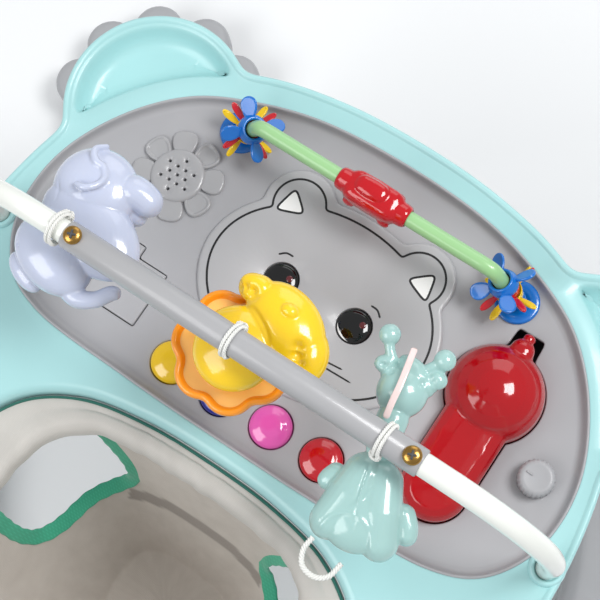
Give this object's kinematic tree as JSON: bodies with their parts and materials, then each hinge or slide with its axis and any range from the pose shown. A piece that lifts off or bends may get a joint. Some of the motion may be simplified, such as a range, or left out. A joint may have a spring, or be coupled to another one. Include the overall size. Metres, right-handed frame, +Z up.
{
  "type": "activity jumper",
  "caption": "Standing baby activity jumper: moulded tray with play panel, toy bar and hanging toys, fabric seat, sprung telescopic legs and a footed ring base.",
  "frame": {"origin": "on the floor, below the middle of the bounding box", "axes": "+Z up, -Y towards the play panel's front edge, away from the seated child; +X is the child's left"},
  "size_m": [0.8954, 0.85, 0.6042],
  "materials": {
    "base_gray": "fine moulded texture",
    "rubber": "matte moulded rubber",
    "white_plastic": "smooth glossy",
    "spring_steel": "drawn wire",
    "mint_plastic": "satin gloss",
    "panel_gray": "fine spark-eroded texture",
    "plate_gray": "fine spark-eroded texture with printed lines",
    "housing_gray": "plain moulded",
    "flower_gray": "fine texture",
    "lens_black": "clear hard gloss",
    "driver_black": "paper cone and frame",
    "battery_brass": "printed steel jacket",
    "board_green": "lacquered board",
    "blue_plastic": "smooth glossy",
    "rod_green": "satin",
    "hoop_gray": "plain",
    "seat_cloth": "woven polyester, padded, with bound edges",
    "red_plastic": "smooth glossy",
    "yellow_plastic": "smooth glossy",
    "button_yellow": "smooth",
    "button_indigo": "smooth",
    "button_pink": "smooth",
    "button_red": "smooth",
    "key_red": "high gloss",
    "bar_gray": "satin",
    "screw_brass": "yellow zinc plate",
    "elephant_lilac": "soft satin vinyl",
    "lion_yellow": "soft satin vinyl",
    "lion_orange": "soft satin vinyl",
    "giraffe_mint": "soft satin vinyl",
    "white_cord": "twisted cotton cord"
  },
  "bodies": {
    "base": {"base_frame": "base_gray", "foot_pad_front_left": "rubber", "foot_pad_front_right": "rubber", "foot_pad_rear": "rubber", "lower_post_front_left": "white_plastic", "lower_post_front_right": "white_plastic", "lower_post_rear": "white_plastic", "bounce_spring_front_left": "spring_steel", "bounce_spring_front_right": "spring_steel", "bounce_spring_rear": "spring_steel"},
    "tray": {"upper_sleeve_front_left": "white_plastic", "upper_sleeve_front_right": "white_plastic", "upper_sleeve_rear": "white_plastic", "tray_shell": "mint_plastic", "activity_panel": "panel_gray", "panel_housing": "housing_gray", "face_plate": "plate_gray", "eye_lens_left": "lens_black", "eye_lens_right": "lens_black", "speaker_grille": "flower_gray", "speaker_driver": "driver_black", "battery_box": "housing_gray", "battery_1": "battery_brass", "battery_2": "battery_brass", "circuit_board": "board_green", "rod_flange_left": "blue_plastic", "rod_flange_right": "blue_plastic", "bead_rod": "rod_green", "seat_hoop": "hoop_gray", "seat_fabric": "seat_cloth"},
    "car": {"car_bead": "red_plastic"},
    "spinner_left_yellow_body": {"spinner_left_yellow": "yellow_plastic"},
    "spinner_left_red_body": {"spinner_left_red": "red_plastic"},
    "spinner_left_blue_body": {"spinner_left_blue": "blue_plastic"},
    "spinner_right_yellow_body": {"spinner_right_yellow": "yellow_plastic"},
    "spinner_right_red_body": {"spinner_right_red": "red_plastic"},
    "spinner_right_blue_body": {"spinner_right_blue": "blue_plastic"},
    "button_yellow_body": {"button_yellow": "button_yellow"},
    "button_blue_body": {"button_blue": "button_indigo"},
    "button_pink_body": {"button_pink": "button_pink"},
    "button_red_body": {"button_red": "button_red"},
    "key": {"sound_key": "key_red"},
    "knob": {"dial_knob": "panel_gray"},
    "door": {"battery_door": "panel_gray"},
    "bar": {"toy_bar": "bar_gray", "bar_end_left": "white_plastic", "bar_screw_left": "screw_brass", "bar_end_right": "white_plastic", "bar_screw_right": "screw_brass"},
    "elephant_body": {"elephant": "elephant_lilac", "cord_loop_elephant": "white_cord"},
    "lion_hung": {"lion_body": "lion_yellow", "lion_mane": "lion_orange", "cord_loop_lion": "white_cord"},
    "giraffe_body": {"giraffe": "giraffe_mint", "cord_loop_giraffe": "white_cord"}
  },
  "joints": [
    {"name": "tray_bounce", "type": "slide", "parent": "base", "child": "tray", "axis": [0, 0, 1], "range_m": [-0.055, 0], "stiffness_N_per_m": 3200, "springref_m": 0.02, "deforming": ["bounce_spring_front_left", "bounce_spring_front_right", "bounce_spring_rear"]},
    {"name": "toy_bar_lift", "type": "slide", "parent": "tray", "child": "bar", "axis": [0, 0, 1], "range_m": [0, 0.03]},
    {"name": "elephant_swing", "type": "hinge", "parent": "bar", "child": "elephant_body", "pos_m": [0.148, -0.091, 0.59], "axis": [1, 0, 0], "range_deg": [-22, 22]},
    {"name": "lion_swing", "type": "hinge", "parent": "bar", "child": "lion_hung", "pos_m": [0.006, -0.091, 0.59], "axis": [1, 0, 0], "range_deg": [-22, 22]},
    {"name": "giraffe_swing", "type": "hinge", "parent": "bar", "child": "giraffe_body", "pos_m": [-0.113, -0.091, 0.59], "axis": [1, 0, 0], "range_deg": [-22, 22]},
    {"name": "spin_left_yellow", "type": "hinge", "parent": "tray", "child": "spinner_left_yellow_body", "pos_m": [0.11813, -0.246, 0.45423], "axis": [-0.435, 0, 0.9004], "continuous": true},
    {"name": "spin_left_red", "type": "hinge", "parent": "tray", "child": "spinner_left_red_body", "pos_m": [0.11491, -0.246, 0.46089], "axis": [-0.435, 0, 0.9004], "continuous": true},
    {"name": "spin_left_blue", "type": "hinge", "parent": "tray", "child": "spinner_left_blue_body", "pos_m": [0.11143, -0.246, 0.46809], "axis": [-0.435, 0, 0.9004], "continuous": true},
    {"name": "spin_right_yellow", "type": "hinge", "parent": "tray", "child": "spinner_right_yellow_body", "pos_m": [-0.11813, -0.246, 0.45423], "axis": [0.435, 0, 0.9004], "continuous": true},
    {"name": "spin_right_red", "type": "hinge", "parent": "tray", "child": "spinner_right_red_body", "pos_m": [-0.11491, -0.246, 0.46089], "axis": [0.435, 0, 0.9004], "continuous": true},
    {"name": "spin_right_blue", "type": "hinge", "parent": "tray", "child": "spinner_right_blue_body", "pos_m": [-0.11143, -0.246, 0.46809], "axis": [0.435, 0, 0.9004], "continuous": true},
    {"name": "car_slide", "type": "slide", "parent": "tray", "child": "car", "axis": [1, 0, 0], "range_m": [-0.046, 0.044]},
    {"name": "press_yellow", "type": "slide", "parent": "tray", "child": "button_yellow_body", "axis": [0, 0, -1], "range_m": [0, 0.003], "stiffness_N_per_m": 400, "springref_m": -0.001},
    {"name": "press_blue", "type": "slide", "parent": "tray", "child": "button_blue_body", "axis": [0, 0, -1], "range_m": [0, 0.003], "stiffness_N_per_m": 400, "springref_m": -0.001},
    {"name": "press_pink", "type": "slide", "parent": "tray", "child": "button_pink_body", "axis": [0, 0, -1], "range_m": [0, 0.003], "stiffness_N_per_m": 400, "springref_m": -0.001},
    {"name": "press_red", "type": "slide", "parent": "tray", "child": "button_red_body", "axis": [0, 0, -1], "range_m": [0, 0.003], "stiffness_N_per_m": 400, "springref_m": -0.001},
    {"name": "press_sound_key", "type": "slide", "parent": "tray", "child": "key", "axis": [0, 0, -1], "range_m": [0, 0.003], "stiffness_N_per_m": 3200, "springref_m": -0.0015},
    {"name": "turn_knob", "type": "hinge", "parent": "tray", "child": "knob", "pos_m": [-0.206, -0.141, 0.446], "axis": [0, 0, 1], "range_deg": [-150, 150]},
    {"name": "door_lift", "type": "slide", "parent": "tray", "child": "door", "axis": [0, 0, 1], "range_m": [0, 0.006]}
  ]
}
